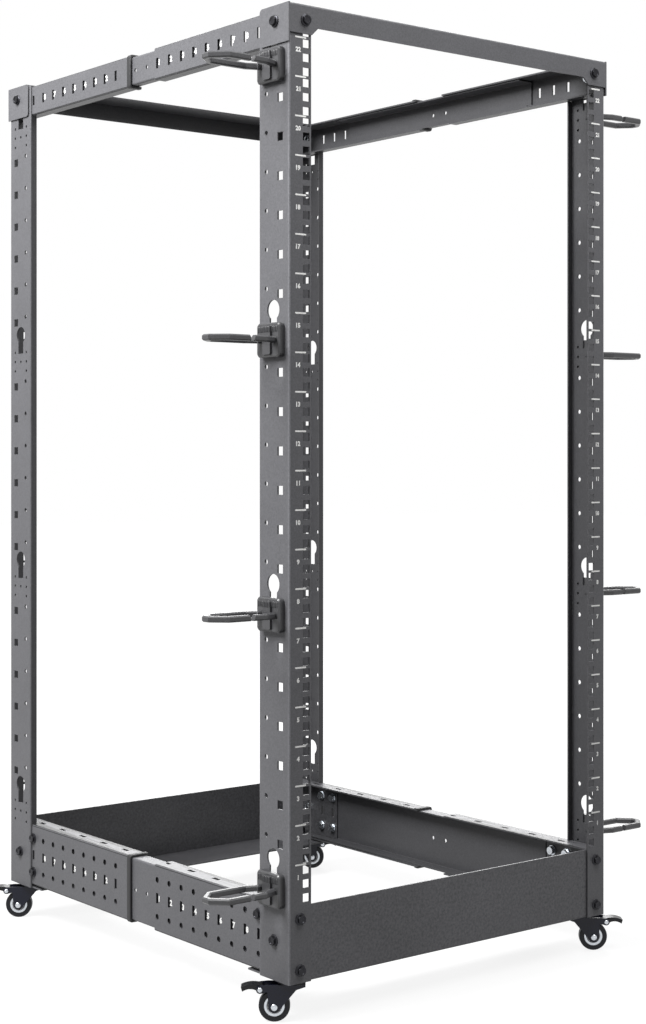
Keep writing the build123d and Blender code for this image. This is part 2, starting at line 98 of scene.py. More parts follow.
# The only ring that is mounted upside down: its side, and its number from the foot.
FLIPPED_RING = ("right", 3)

# The lower and upper flange of each rail's sleeve.
SLEEVE_FLANGES_MM = {"top": (16.0, 30.0), "base": (26.0, 26.0)}

# Where painted shade and a painted highlight go on the coat: a rail's tongue, shaded where it is covered,
# lies deeper than its outer sections, the lowest flanges, shaded on top, lie under a height over the foot,
# and a post's rounded fold, with its painted highlight, lies between two distances from its sharp corner.
TONGUE_DEPTH_MM = 3.4
TONGUE_DROP_MM = 1.2
FLANGE_OFF_MIDDLE_MM = 5.0
LOW_FLANGE_MM = 15.0
SKIN_MM = 2.4
FOLD_MM = (2.5, 1.8)

# The coat's level under the painted shade or painted highlight there, against its level on an open outer
# face.
INSIDE_SHADE_LEVEL = 0.5
TONGUE_SHADE_LEVEL = 0.12
FOLD_HIGHLIGHT_LEVEL = 1.7

# A wheel's pressed ring rises this far off its face, and a ring plate's ribs end this far under its top.
WHEEL_RING_RISE_MM = 0.45
RIB_DROP_MM = 3.2
RIBS_EACH_WAY = 6

# Width of each square lamp, its place and the point that it is turned to.
KEY_LAMP = (1.2, (-1.7, 0.2, 2.3), (-0.26, 0.0, 1.0))
FILL_LAMP = (1.2, (0.12, -1.15, 2.2), (0.0, -0.32, 1.05))
BACK_LAMP = (2.0, (2.2, 2.6, 2.2), (0.0, 0.0, 0.6))

# Blender's own font has figures this high for a size of 1, and ink spreads by this share of its height.
FIGURE_HEIGHT = 0.7
INK_SPREAD = 0.07

# The photograph's viewpoint: level, and turned by the same angle, in degrees, as the casters.
VIEW_TURN = 38.35
CAMERA_PLACE = (-1.4979, -1.9514, 0.6496)
CAMERA_LENS_MM = 64.16
CAMERA_SHIFT = -0.0605

# Half the width of the square floor.
FLOOR_REACH = 12.0

SIDES = {"left": -1, "right": 1}
ENDS = {"front": -1, "rear": 1}


def linear(code):
    """A hex sRGB colour as linear red, green, blue and alpha."""
    parts = [int(code[place:place + 2], 16) / 255 for place in (1, 3, 5)]
    lit = [part / 12.92 if part <= 0.04045 else ((part + 0.055) / 1.055) ** 2.4 for part in parts]
    return (*lit, 1.0)


def length(name, description, value_mm):
    """A length that a user can change, given in millimetres and kept in metres."""
    return FloatProperty(name=name, description=description, default=value_mm * MM, min=0.0,
                         precision=5, subtype="DISTANCE", unit="LENGTH")


def colour(name, description, code):
    """A colour that a user can change, given as hex sRGB."""
    return FloatVectorProperty(name=name, description=description, default=linear(code), size=4,
                               min=0.0, max=1.0, subtype="COLOR")


def amount(name, description, value):
    """A share from 0 to 1 that a user can change."""
    return FloatProperty(name=name, description=description, default=value, min=0.0, max=1.0,
                         subtype="FACTOR")


def power(name, description, watts):
    """A lamp's power that a user can change."""
    return FloatProperty(name=name, description=description, default=watts, min=0.0, unit="POWER")


class RackHardware(bpy.types.PropertyGroup):
    """Sizes of the screws, nuts and edge strips."""

    flange_radius: length("Flange radius", "Radius of the flange under a screw head", 7.0)
    flange_thick: length("Flange thickness", "Thickness of a screw's flange at its rim", 1.1)
    head_across: length("Head across flats", "Width of a hexagon head", 10.0)
    head_height: length("Head height", "Height of a screw head over the sheet", 4.5)
    nut_across: length("Nut across flats", "Width of a hexagon nut", 10.0)
    nut_height: length("Nut height", "Height of a nut with its washer", 5.5)
    thread_radius: length("Thread radius", "Radius of a nut's bore", 2.9)
    washer_radius: length("Washer radius", "Radius of the washer under a nut", 6.6)
    rib_width: length("Rib width", "Width of a grip rib on a cable ring's plate", 1.7)
    rib_pitch: length("Rib pitch", "Distance from rib to rib", 2.9)
    rib_reach: length("Rib reach", "Half the height of a grip rib", 4.2)
    axle_radius: length("Axle head radius", "Radius of a caster axle's round head", 3.9)
    pin_radius: length("Pedal pin radius", "Radius of a brake pedal's pin head", 2.9)
    cover_inner: length("Wheel ring inside", "Inner radius of the pressed ring on a wheel", 8.2)
    cover_outer: length("Wheel ring outside", "Outer radius of the pressed ring on a wheel", 12.0)
    # The edge strips are black pieces of painted shade, for the shadowed edge and gap at a sleeve's end.
    strip_thick: length("Strip thickness", "How far an edge strip stands off the sleeve", 1.3)
    strip_cover: length("Strip cover", "How far an edge strip reaches over the sleeve", 6.5)
    strip_front: length("Strip front", "How far an edge strip reaches past the sleeve's end", 1.6)


class RackMarks(bpy.types.PropertyGroup):
    """Sizes of the printed marks."""

    tick_start: length("Tick start", "Distance of a unit line from the post's corner", 8.5)
    tick_end: length("Tick end", "Distance of a unit line's far end from the post's corner", 24.4)
    tick_width: length("Tick width", "Width of a unit line", 1.9)
    number_height: length("Number height", "Height of a unit number", 5.0)
    number_inset: length("Number inset", "Distance of a unit number's middle from the post's corner", 13.0)
    number_drop: length("Number drop", "How far a unit number sits below its line", 14.3)
    digit_height: length("Rail digit height", "Height of a number on a side rail", 6.5)
    digit_offset: length("Rail digit offset", "Distance of a rail number from its slot's middle", 4.6)
    ink: length("Ink thickness", "Thickness of the printed ink", 0.08)


class RackFinishes(bpy.types.PropertyGroup):
    """Colours of the coatings and plastics."""

    coat: colour("Powder coat", "Charcoal powder coat of posts, beams and rails", "#565659")
    grain: length("Coat grain", "Size of the coat's grains as drawn", 2.0)
    ring: colour("Cable ring", "Moulded nylon of the cable rings", "#3b3b3d")
    black_screw: colour("Black screw", "Blackened steel of the screws", "#303033")
    zinc: colour("Zinc", "Zinc plate of nuts and axles", "#c9cdd2")
    ink: colour("Ink", "Printed lines and numbers", "#f2f2f0")
    # Black of the edge strips: painted shade for the shadowed edge and gap at a sleeve's end.
    rubber: colour("Rubber", "Edge strips", "#121214")
    fork: colour("Caster fork", "Enamel of the caster forks", "#0c0f1e")
    tyre: colour("Tyre", "Caster tyres", "#0e0f14")
    hub: colour("Hub", "Caster hubs", "#f4f4f6")
    pedal: colour("Pedal", "Brake pedals", "#0c0d10")


class RackStage(bpy.types.PropertyGroup):
    """Light levels and floor."""

    key: power("Key light", "Power of the large lamp at the left, in watts", 136.0)
    fill: power("Fill light", "Power of the lamp at the front, in watts", 35.0)
    back: power("Back light", "Power of the lamp behind the rack at its right, in watts", 88.0)
    ambient: amount("Ambient", "Strength of the surrounding light", 0.22)
    floor: colour("Floor", "Plain floor, seen with its glow as white", "#686868")
    floor_glow: amount("Floor glow", "What camera and reflections see of the floor beyond its light", 0.86)


def grid_faces(rows, columns, closed_rows=False):
    """Quads of a grid whose columns run round: vertex (i, j) is number i * columns + j."""
    steps = rows if closed_rows else rows - 1
    i, j = np.meshgrid(np.arange(steps), np.arange(columns), indexing="ij")
    i_next = (i + 1) % rows
    j_next = (j + 1) % columns
    corners = (i * columns + j, i * columns + j_next, i_next * columns + j_next, i_next * columns + j)
    return np.stack(corners, axis=-1).reshape(-1, 4)


def turned_profile(profile, sides, flats=None):
    """A surface of revolution about z, or a hexagonal one where flats are given.

    Row i has the radius r and height h of profile[i]; at angle u the point is (r cos u, r sin u, h). With
    an inradius a for a row, r is the smaller of r and a / cos(u'), u' being the angle from the middle of
    the nearest flat, so a circle of radius r is cut by six flats."""
    profile = np.array(profile)
    angle = np.arange(sides) * 2 * np.pi / sides
    radius = np.repeat(profile[:, :1], sides, axis=1)
    if flats is not None:
        from_flat = (angle + np.pi / 6) % (np.pi / 3) - np.pi / 6
        radius = np.minimum(radius, np.array(flats)[:, None] / np.cos(from_flat)[None, :])
    height = np.repeat(profile[:, 1:2], sides, axis=1)
    return np.stack((radius * np.cos(angle), radius * np.sin(angle), height), axis=-1).reshape(-1, 3)


def facing(normals):
    """Rotations that take +Z to each normal and keep +Y upright: columns are right, up and normal."""
    normals = np.array(normals, dtype=float)
    up = np.broadcast_to((0.0, 0.0, 1.0), normals.shape)
    right = np.cross(up, normals)
    return np.stack((right, up, normals), axis=-1)


def spread(points, faces, places, normals):
    """Copies of one small mesh at many places, each turned to its normal: R p + t as whole arrays."""
    places = np.array(places, dtype=float)
    copies = np.einsum("kij,nj->kni", facing(normals), points) + places[:, None, :]
    shift = np.arange(len(places)) * len(points)
    return copies.reshape(-1, 3), (np.array(faces)[None] + shift[:, None, None]).reshape(-1, faces.shape[1])


def add_piece(name, points, faces, material, body, slot=None, sharp=35.0):
    """One finished piece: doubles merged, faces outward, smooth up to the sharp angle, riding on its body."""
    mesh = bpy.data.meshes.new(name)
    mesh.from_pydata(points.tolist(), [], faces.tolist())
    work = bmesh.new()
    work.from_mesh(mesh)
    bmesh.ops.remove_doubles(work, verts=work.verts, dist=1e-7)
    bmesh.ops.recalc_face_normals(work, faces=work.faces)
    work.to_mesh(mesh)
    work.free()
    mesh.polygons.foreach_set("use_smooth", np.ones(len(mesh.polygons), dtype=bool))
    mesh.set_sharp_from_angle(angle=np.radians(sharp))
    mesh.materials.append(material)
    piece = bpy.data.objects.new(name, mesh)
    bpy.context.scene.collection.objects.link(piece)
    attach(piece, body)


def lettering(words, height, depth):
    """Triangles of a line of print, centred at the origin, standing up from z = 0 by depth."""
    curve = bpy.data.curves.new("print", "FONT")
    curve.body = words
    curve.size = height / FIGURE_HEIGHT
    curve.align_x = "CENTER"
    curve.align_y = "CENTER"
    curve.resolution_u = 2
    curve.extrude = depth / 2
    curve.offset = height * INK_SPREAD
    holder = bpy.data.objects.new("print", curve)
    bpy.context.scene.collection.objects.link(holder)
    bpy.context.view_layer.update()
    mesh = bpy.data.meshes.new_from_object(holder)
    points = np.empty(len(mesh.vertices) * 3)
    mesh.vertices.foreach_get("co", points)
    mesh.calc_loop_triangles()
    triangles = np.empty(len(mesh.loop_triangles) * 3, dtype=int)
    mesh.loop_triangles.foreach_get("vertices", triangles)
    bpy.data.objects.remove(holder)
    bpy.data.curves.remove(curve)
    bpy.data.meshes.remove(mesh)
    points = points.reshape(-1, 3)
    points[:, 0] -= (points[:, 0].min() + points[:, 0].max()) / 2
    points[:, 2] += depth / 2
    return points, triangles.reshape(-1, 3)


def joined(batches):
    """Many (points, faces) batches as one."""
    points = np.concatenate([batch[0] for batch in batches])
    shifts = np.cumsum([0] + [len(batch[0]) for batch in batches[:-1]])
    faces = np.concatenate([batch[1] + shift for batch, shift in zip(batches, shifts)])
    return points, faces


def add(tree, kind, inputs=None, **settings):
    """One node with its settings, and its sockets linked or set."""
    node = tree.nodes.new(kind)
    for name, value in settings.items():
        setattr(node, name, value)
    for name, value in (inputs or {}).items():
        if isinstance(value, bpy.types.NodeSocket):
            tree.links.new(value, node.inputs[name])
        else:
            node.inputs[name].default_value = value
    return node


def new_material(name):
    """An empty material with its node tree and the Object coordinates."""
    material = bpy.data.materials.new(name)
    material.use_nodes = True
    tree = material.node_tree
    tree.nodes.clear()
    return material, tree, add(tree, "ShaderNodeTexCoord").outputs["Object"]


def close(tree, shader):
    """The shader as the material's surface."""
    add(tree, "ShaderNodeOutputMaterial", {"Surface": shader.outputs[0]})


def seen_rays(tree):
    """1 for what the camera sees by itself, in a reflection or through something clear."""
    path = add(tree, "ShaderNodeLightPath").outputs
    seen = add(tree, "ShaderNodeMath", {0: path["Is Camera Ray"], 1: path["Is Glossy Ray"]},
               operation="MAXIMUM")
    return add(tree, "ShaderNodeMath", {0: seen.outputs[0], 1: path["Is Transmission Ray"]},
               operation="MAXIMUM").outputs[0]


def toned(tree, fac, base, low, high):
    """The base colour between low and high times its own level, as fac goes from 0 to 1."""
    ramp = add(tree, "ShaderNodeValToRGB", {"Fac": fac})
    ramp.color_ramp.elements[0].position = 0.3
    ramp.color_ramp.elements[1].position = 0.7
    for element, level in zip(ramp.color_ramp.elements, (low, high)):
        element.color = tuple(min(1.0, part * level) for part in base[:3]) + (1.0,)
    return ramp.outputs["Color"]


def levelled(tree, tone, fac, level):
    """The tone times a level where fac is 1: darker with a level under 1, lighter with one over it."""
    scaled = add(tree, "ShaderNodeVectorMath", {0: tone, "Scale": level}, operation="SCALE")
    mixed = add(tree, "ShaderNodeMix", data_type="RGBA")
    parts = (mixed.inputs[0], fac), (mixed.inputs[6], tone), (mixed.inputs[7], scaled.outputs[0])
    for socket, value in parts:
        tree.links.new(value, socket)
    return mixed.outputs[2]


def inside_faces(tree, spot, normal, outward, sizes, folds):
    """Mask of painted shade: 1 on a face turned to the rack's middle, on top of the lowest flanges and, with
    folds, in a post.
    """
    inside = add(tree, "ShaderNodeMapRange", {"Value": outward, "From Min": -0.02, "From Max": -0.08})
    low = add(tree, "ShaderNodeMath", {0: spot["Z"], 1: FOOT + LOW_FLANGE_MM * MM}, operation="LESS_THAN")
    up = add(tree, "ShaderNodeMath", {0: normal["Z"], 1: 0.5}, operation="GREATER_THAN")
    low = add(tree, "ShaderNodeMath", {0: low.outputs[0], 1: up.outputs[0]}, operation="MULTIPLY")
    shaded = add(tree, "ShaderNodeMath", {0: inside.outputs["Result"], 1: low.outputs[0]},
                 operation="MAXIMUM")
    if folds:
        # Behind both of the post's outer skins.
        behind = add(tree, "ShaderNodeMath", {0: sizes["X"], 1: HALF_WIDTH - SKIN_MM * MM},
                     operation="LESS_THAN")
        within = add(tree, "ShaderNodeMath", {0: sizes["Y"], 1: HALF_DEPTH - SKIN_MM * MM},
                     operation="LESS_THAN")
        within = add(tree, "ShaderNodeMath", {0: behind.outputs[0], 1: within.outputs[0]},
                     operation="MULTIPLY")
        shaded = add(tree, "ShaderNodeMath", {0: shaded.outputs[0], 1: within.outputs[0]},
                     operation="MAXIMUM")
    return shaded.outputs[0]


def covered_tongue(tree, spot, normal, outward, sizes, foot, top):
    """Mask of painted shade: 1 on the outer faces of a rail's tongue, but not in the gap where no section
    covers it.
    """
    gap = add(tree, "ShaderNodeMath", {0: spot["Y"], 1: HALF_DEPTH - GAP_MIDDLE_MM * MM}, operation="ADD")
    gap = add(tree, "ShaderNodeMath", {0: gap.outputs[0]}, operation="ABSOLUTE")
    off_gap = add(tree, "ShaderNodeMath", {0: gap.outputs[0], 1: GAP_HALF_MM * MM}, operation="GREATER_THAN")
    # The web: deeper than the outer sections' web, and turned outward.
    deep = add(tree, "ShaderNodeMath", {0: sizes["X"], 1: HALF_WIDTH - TONGUE_DEPTH_MM * MM},
               operation="LESS_THAN")
    outer = add(tree, "ShaderNodeMath", {0: outward, 1: 0.0}, operation="GREATER_THAN")
    web = add(tree, "ShaderNodeMath", {0: deep.outputs[0], 1: outer.outputs[0]}, operation="MULTIPLY")
    # The flanges: below the outer sections' flanges, and turned away from the rail's middle.
    rise = add(tree, "ShaderNodeMath", {0: spot["Z"], 1: (foot + top) / 2}, operation="SUBTRACT")
    away = add(tree, "ShaderNodeMath", {0: rise.outputs[0], 1: normal["Z"]}, operation="MULTIPLY")
    away = add(tree, "ShaderNodeMath", {0: away.outputs[0], 1: FLANGE_OFF_MIDDLE_MM * MM},
               operation="GREATER_THAN")
    rise = add(tree, "ShaderNodeMath", {0: rise.outputs[0]}, operation="ABSOLUTE")
    under = add(tree, "ShaderNodeMath", {0: rise.outputs[0], 1: (top - foot) / 2 - TONGUE_DROP_MM * MM},
                operation="LESS_THAN")
    flange = add(tree, "ShaderNodeMath", {0: under.outputs[0], 1: away.outputs[0]}, operation="MULTIPLY")
    return [add(tree, "ShaderNodeMath", {0: part.outputs[0], 1: off_gap.outputs[0]},
                operation="MULTIPLY").outputs[0]
            for part in (web, flange)]


def rubbed_fold(tree, sizes):
    """Mask of a painted highlight: 1 on a post's outer fold: nowhere else on a post do the distances from the
    middle add up to so much.
    """
    reach = add(tree, "ShaderNodeMath", {0: sizes["X"], 1: sizes["Y"]}, operation="ADD")
    low, high = (HALF_WIDTH + HALF_DEPTH - step * MM for step in FOLD_MM)
    return add(tree, "ShaderNodeMapRange", {"Value": reach.outputs[0], "From Min": low,
                                            "From Max": high}).outputs["Result"]


def powder_coat(name, base, grain, contrast=(0.78, 1.25), slides=None, folds=False):
    """Powder coat on folded mild steel, sprayed and baked: a fine pebbled skin, satin, with a slow drift of
    tone where the film is thicker. It gives the eye a soft grey sheen at a glancing view, and a sandy look
    near to. The grains are about 0.3 mm in truth and drawn coarser, so that they show at this distance.

    A face turned to the rack's middle, the top of the lowest flanges and the inside of a post are darker:
    painted shade. A rail's sliding tongue is darker where a section covers it: painted shade; slides gives
    the rail's lowest and highest level. A post's outer fold is lighter: a painted highlight."""
    material, tree, place = new_material(name)
    pebbles = add(tree, "ShaderNodeTexNoise", {"Vector": place, "Scale": 1 / grain, "Detail": 3.0,
                                               "Roughness": 0.65})
    drift = add(tree, "ShaderNodeTexNoise", {"Vector": place, "Scale": 1 / (90 * MM), "Detail": 2.0})
    mix = add(tree, "ShaderNodeMath", {0: pebbles.outputs["Fac"], 1: 0.75}, operation="MULTIPLY")
    mix = add(tree, "ShaderNodeMath", {0: drift.outputs["Fac"], 1: 0.25, 2: mix.outputs[0]},
              operation="MULTIPLY_ADD")
    tone = toned(tree, mix.outputs[0], base, *contrast)

    # The place, its distances from the rack's middle planes, the normal, and how far the normal looks
    # away from the rack's upright middle line.
    facing_way = add(tree, "ShaderNodeNewGeometry").outputs["Normal"]
    level = add(tree, "ShaderNodeVectorMath", {0: place, 1: (1.0, 1.0, 0.0)}, operation="MULTIPLY")
    outward = add(tree, "ShaderNodeVectorMath", {0: level.outputs[0], 1: facing_way},
                  operation="DOT_PRODUCT").outputs["Value"]
    sizes = add(tree, "ShaderNodeVectorMath", {0: place}, operation="ABSOLUTE")
    spot, normal, sizes = (add(tree, "ShaderNodeSeparateXYZ", {"Vector": vector}).outputs
                           for vector in (place, facing_way, sizes.outputs[0]))

    # Painted shade on faces turned to the rack's middle, on the tops of the lowest flanges and inside a post.
    tone = levelled(tree, tone, inside_faces(tree, spot, normal, outward, sizes, folds), INSIDE_SHADE_LEVEL)
    # Painted shade on the tongue where a section covers it.
    if slides:
        for part in covered_tongue(tree, spot, normal, outward, sizes, *slides):
            tone = levelled(tree, tone, part, TONGUE_SHADE_LEVEL)
    # A painted highlight along a post's outer fold.
    if folds:
        tone = levelled(tree, tone, rubbed_fold(tree, sizes), FOLD_HIGHLIGHT_LEVEL)
    rough = add(tree, "ShaderNodeMapRange", {"Value": pebbles.outputs["Fac"], "To Min": 0.3, "To Max": 0.48})
    bump = add(tree, "ShaderNodeBump", {"Height": pebbles.outputs["Fac"], "Strength": 0.35,
                                        "Distance": 0.25 * MM})
    shader = add(tree, "ShaderNodeBsdfPrincipled", {
        "Base Color": tone, "Roughness": rough.outputs["Result"],
        "IOR": 1.5, "Specular IOR Level": 0.3, "Normal": bump.outputs["Normal"]})
    close(tree, shader)
    return material


def moulded(name, base, roughness, speckle_mm, specular=0.5, bump_mm=0.05):
    """Moulded nylon or polyurethane, and the black edge strips of painted shade: one tone with a faint mottle
    from the mould's spark finish, and a roughness that wanders a little, so a highlight breaks up softly."""
    material, tree, place = new_material(name)
    mottle = add(tree, "ShaderNodeTexNoise", {"Vector": place, "Scale": 1 / (speckle_mm * MM), "Detail": 2.0})
    rough = add(tree, "ShaderNodeMapRange", {"Value": mottle.outputs["Fac"], "To Min": roughness - 0.08,
                                             "To Max": roughness + 0.08})
    bump = add(tree, "ShaderNodeBump", {"Height": mottle.outputs["Fac"], "Strength": 0.3,
                                        "Distance": bump_mm * MM})
    shader = add(tree, "ShaderNodeBsdfPrincipled", {
        "Base Color": toned(tree, mottle.outputs["Fac"], base, 0.85, 1.15),
        "Roughness": rough.outputs["Result"], "IOR": 1.5, "Specular IOR Level": specular,
        "Normal": bump.outputs["Normal"]})
    close(tree, shader)
    return material


def plated(name, base, roughness, crystal_mm):
    """Plated or blackened steel, pressed or cold headed: metal whose reflections are clouded by the fine
    crystals of the plate, so bright and dull patches lie side by side."""
    material, tree, place = new_material(name)
    cells = add(tree, "ShaderNodeTexNoise", {"Vector": place, "Scale": 1 / (crystal_mm * MM), "Detail": 3.0})
    rough = add(tree, "ShaderNodeMapRange", {"Value": cells.outputs["Fac"], "To Min": roughness - 0.1,
                                             "To Max": roughness + 0.12})
    shader = add(tree, "ShaderNodeBsdfPrincipled", {
        "Base Color": toned(tree, cells.outputs["Fac"], base, 0.8, 1.1), "Metallic": 1.0,
        "Roughness": rough.outputs["Result"]})
    close(tree, shader)
    return material


def printed(name, base):
    """Screen printed epoxy ink: opaque and flat, thinner in places where the coat's grain breaks it."""
    material, tree, place = new_material(name)
    wear = add(tree, "ShaderNodeTexNoise", {"Vector": place, "Scale": 1 / (1.5 * MM), "Detail": 2.0})
    shader = add(tree, "ShaderNodeBsdfPrincipled", {
        "Base Color": toned(tree, wear.outputs["Fac"], base, 0.8, 1.0), "Roughness": 0.6, "IOR": 1.5})
    close(tree, shader)
    return material


def coat_nodes(material, word):
    """Puts a material on every CAD node whose name has the word."""
    found = [node for name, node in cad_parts.items() if word in name]
    if not found:
        raise RuntimeError(f"no node's name has {word}")
    for node in found:
        node.data.materials.clear()
        node.data.materials.append(material)


def corners():
    """Every corner of the rack: its names and the outward signs along X and Y."""
    return [(end, side, sx, sy) for end, sy in ENDS.items() for side, sx in SIDES.items()]


def on_front(sx, sy, x_mm, z, depth_mm):
    """A point on a post's front side: x_mm in from the corner, depth_mm behind the post's face."""
    return (sx * (HALF_WIDTH - x_mm * MM), sy * (HALF_DEPTH - depth_mm * MM), z)


def on_side(sx, sy, y_mm, z, depth_mm):
    """A point on the rack's side: y_mm in from the corner, depth_mm inside the post's web."""
    return (sx * (HALF_WIDTH - depth_mm * MM), sy * (HALF_DEPTH - y_mm * MM), z)


def screw_places():
    """Places and normals of the screw heads, of the nuts behind them and of the captive nuts of the base."""
    heads, nuts, captive = [], [], []
    top = TOP - TOP_SCREW_DROP_MM * MM
    middle = FOOT + BASE_MIDDLE_MM * MM
    for end, _, sx, sy in corners():
        front, back, flank, inner = (0, sy, 0), (0, -sy, 0), (sx, 0, 0), (-sx, 0, 0)
        heads.append((on_front(sx, sy, TOP_FRONT_SCREW_MM, top, -SHEET_MM), front))
        nuts.append((on_front(sx, sy, TOP_FRONT_SCREW_MM, top, SHEET_MM), back))
        heads.append((on_side(sx, sy, TOP_SIDE_SCREW_MM, top, -SHEET_MM), flank))
        nuts.append((on_side(sx, sy, TOP_SIDE_SCREW_MM, top, RAIL_FACE_MM + SHEET_MM), inner))
        for z_mm in BASE_FRONT_SCREW_HEIGHTS_MM:
            heads.append((on_front(sx, sy, BASE_FRONT_SCREW_MM, FOOT + z_mm * MM, 0.0), front))
            nuts.append((on_front(sx, sy, BASE_FRONT_SCREW_MM, FOOT + z_mm * MM, 2 * SHEET_MM), back))
        heads.append((on_side(sx, sy, BASE_SIDE_SCREW_MM, middle, 0.0), flank))
        nuts.append((on_side(sx, sy, BASE_SIDE_SCREW_MM, middle, PANEL_SIDE_FACE_MM), inner))
        rows = [middle + BASE_ROW_MM * MM, middle - BASE_ROW_MM * MM]
        for z in rows if end == "rear" else rows[:1]:
            heads.append((on_side(sx, sy, COLUMN_MM, z, RAIL_FACE_MM), flank))
        captive += [(on_side(sx, sy, column, z, PANEL_SIDE_FACE_MM), inner)
                    for column in (COLUMN_MM, COLUMN_MM + COLUMN_PITCH_MM) for z in rows]
    return heads, nuts, captive


def caster_lines(side, sx, sy):
    """A caster's stem on the floor, the level direction that its wheel trails in, and that of its axle."""
    turn = np.radians(180 - VIEW_TURN if side == "left" else -VIEW_TURN)
    along = np.array((np.cos(turn), np.sin(turn), 0.0))
    across = np.array((-np.sin(turn), np.cos(turn), 0.0))
    stem = np.array((sx * (HALF_WIDTH - STEM_X_MM * MM), sy * (HALF_DEPTH - STEM_Y_MM * MM), 0.0))
    return stem, along, across


class RACK_OT_coatings(bpy.types.Operator):
    """Coats the posts, beams, panels and rails, and colours the rings and caster pieces"""

    bl_idname = "rack.coatings"
    bl_label = "Coat the solids"

    def execute(self, context):
        finish = context.scene.rack_finishes
        coat_nodes(powder_coat("powder_coated_steel_posts", finish.coat, finish.grain, folds=True), "_post")
        coat_nodes(powder_coat("powder_coated_steel_beams", finish.coat, finish.grain), "_beam")
        coat_nodes(powder_coat("powder_coated_steel_panels", finish.coat, finish.grain * 1.6, (0.55, 1.45)),
                   "_panel")
        for level in ("top", "base"):
            low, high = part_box(f"left_{level}_rail_front")
            coat_nodes(powder_coat(f"powder_coated_steel_{level}_rails", finish.coat, finish.grain,
                                   slides=(low[2], high[2])), f"_{level}_rail_")
        coat_nodes(moulded("moulded_nylon_rings", finish.ring, 0.34, 1.6), "_ring_")
        coat_nodes(plated("blackened_steel_collars", finish.black_screw, 0.4, 1.2), "_mount")
        coat_nodes(moulded("enamelled_steel_forks", finish.fork, 0.3, 3.0, 0.3), "_fork")
        coat_nodes(moulded("polyurethane_tyres", finish.tyre, 0.45, 1.5, 0.3), "_tyre")
        coat_nodes(moulded("moulded_nylon_hubs", finish.hub, 0.4, 1.5), "_hub")
        coat_nodes(moulded("enamelled_steel_pedals", finish.pedal, 0.3, 3.0, 0.3), "_pedal")
        return {"FINISHED"}


class RACK_OT_screws(bpy.types.Operator):
    """Adds the black flanged hexagon screws at the corners and on the base rails"""

    bl_idname = "rack.screws"
    bl_label = "Add screws"

    def execute(self, context):
        size = context.scene.rack_hardware
        flat = size.head_across / 2
        rim = size.flange_radius
        thick = size.flange_thick
        top = size.head_height
        free = 2 * rim
        # Flange rim, its sloping top, the hexagon with a chamfered crown and a shallow dish.
        rows = [(0, 0), (rim, 0), (rim, thick * 0.6), (rim * 0.93, thick), (flat * 1.2, thick * 1.5),
                (flat * 1.16, top * 0.82), (flat * 1.0, top), (flat * 0.72, top), (flat * 0.6, top * 0.86),
                (0, top * 0.84)]
        flats = [free, free, free, free, flat, flat, flat, free, free, free]
        points = turned_profile(rows, 24, flats)
        faces = grid_faces(len(rows), 24)
        heads, _, _ = screw_places()
        points, faces = spread(points, faces, *zip(*heads))
        material = plated("blackened_steel_screws", context.scene.rack_finishes.black_screw, 0.36, 1.2)
        add_piece("corner_screws", points, faces, material, "frame")
        return {"FINISHED"}


class RACK_OT_nuts(bpy.types.Operator):
    """Adds the zinc plated nuts and washers behind the screws and the open holes"""

    bl_idname = "rack.nuts"
    bl_label = "Add nuts"

    def execute(self, context):
        size = context.scene.rack_hardware
        flat = size.nut_across / 2
        bore = size.thread_radius
        washer = size.washer_radius
        top = size.nut_height
        free = 2 * washer
        # A closed loop: bore, washer, hexagon with a chamfered top, and back into the bore.
        outside = [(washer, 0), (washer, top * 0.2), (flat * 1.15, top * 0.2), (flat * 1.15, top * 0.88),
                   (flat, top)]
        flats = [free, free, free, flat, flat, flat, free, free]
        rows = [(bore, 0), *outside, (bore * 1.15, top), (bore, top * 0.93)]
        faces = grid_faces(len(rows), 24, closed_rows=True)
        _, nuts, captive = screw_places()
        nuts = spread(turned_profile(rows, 24, flats), faces, *zip(*nuts))
        material = plated("zinc_plated_steel_nuts", context.scene.rack_finishes.zinc, 0.28, 1.5)
        add_piece("zinc_nuts", *nuts, material, "frame", "caster_zinc")
        # The captive nuts are closed at both faces, so they show bright through the open holes.
        rows = [(0, 0), *outside, (flat * 0.7, top), (0, top * 0.93)]
        captive = spread(turned_profile(rows, 24, flats), grid_faces(len(rows), 24), *zip(*captive))
        add_piece("captive_nuts", *captive, material, "frame", "caster_zinc")
        return {"FINISHED"}


class RACK_OT_unit_marks(bpy.types.Operator):
    """Prints the white line and number of each rack unit on the posts"""

    bl_idname = "rack.unit_marks"
    bl_label = "Print unit marks"

    def execute(self, context):
        marks = context.scene.rack_marks
        material = printed("screen_printed_ink", context.scene.rack_finishes.ink)
        half = (marks.tick_end - marks.tick_start) / 2
        # A pill outline: two half circles of the line's width, joined, from its foot to its top.
        angle = np.linspace(-np.pi / 2, np.pi / 2, 5)
        cap = np.stack((half - marks.tick_width / 2 + np.cos(angle) * marks.tick_width / 2,
                        np.sin(angle) * marks.tick_width / 2), axis=-1)
        pill = np.concatenate((cap, -cap))
        layers = [np.column_stack((pill * scale, np.full(len(pill), z)))
                  for scale, z in ((0.0, 0.0), (1.0, 0.0), (1.0, marks.ink), (0.0, marks.ink))]
        tick = np.concatenate(layers), grid_faces(4, len(pill))
        numbers = {unit: lettering(str(unit), marks.number_height, marks.ink) for unit in range(1, UNITS + 1)}
        heights = {unit: FOOT + (FIRST_UNIT_MM + unit * UNIT_MM) * MM for unit in numbers}
        middle = (marks.tick_start + marks.tick_end) / 2 / MM
        inset = marks.number_inset / MM
        for end, side, sx, sy in corners():
            normal = [(0, sy, 0)]
            spots = [on_front(sx, sy, middle, z, 0.0) for z in heights.values()]
            lines = spread(*tick, spots, normal * len(spots))
            add_piece(f"unit_lines_{end}_{side}", *lines, material, "frame")
            batches = [spread(*numbers[unit], [on_front(sx, sy, inset, z - marks.number_drop, 0.0)], normal)
                       for unit, z in heights.items()]
            add_piece(f"unit_numbers_{end}_{side}", *joined(batches), material, "frame")
        return {"FINISHED"}


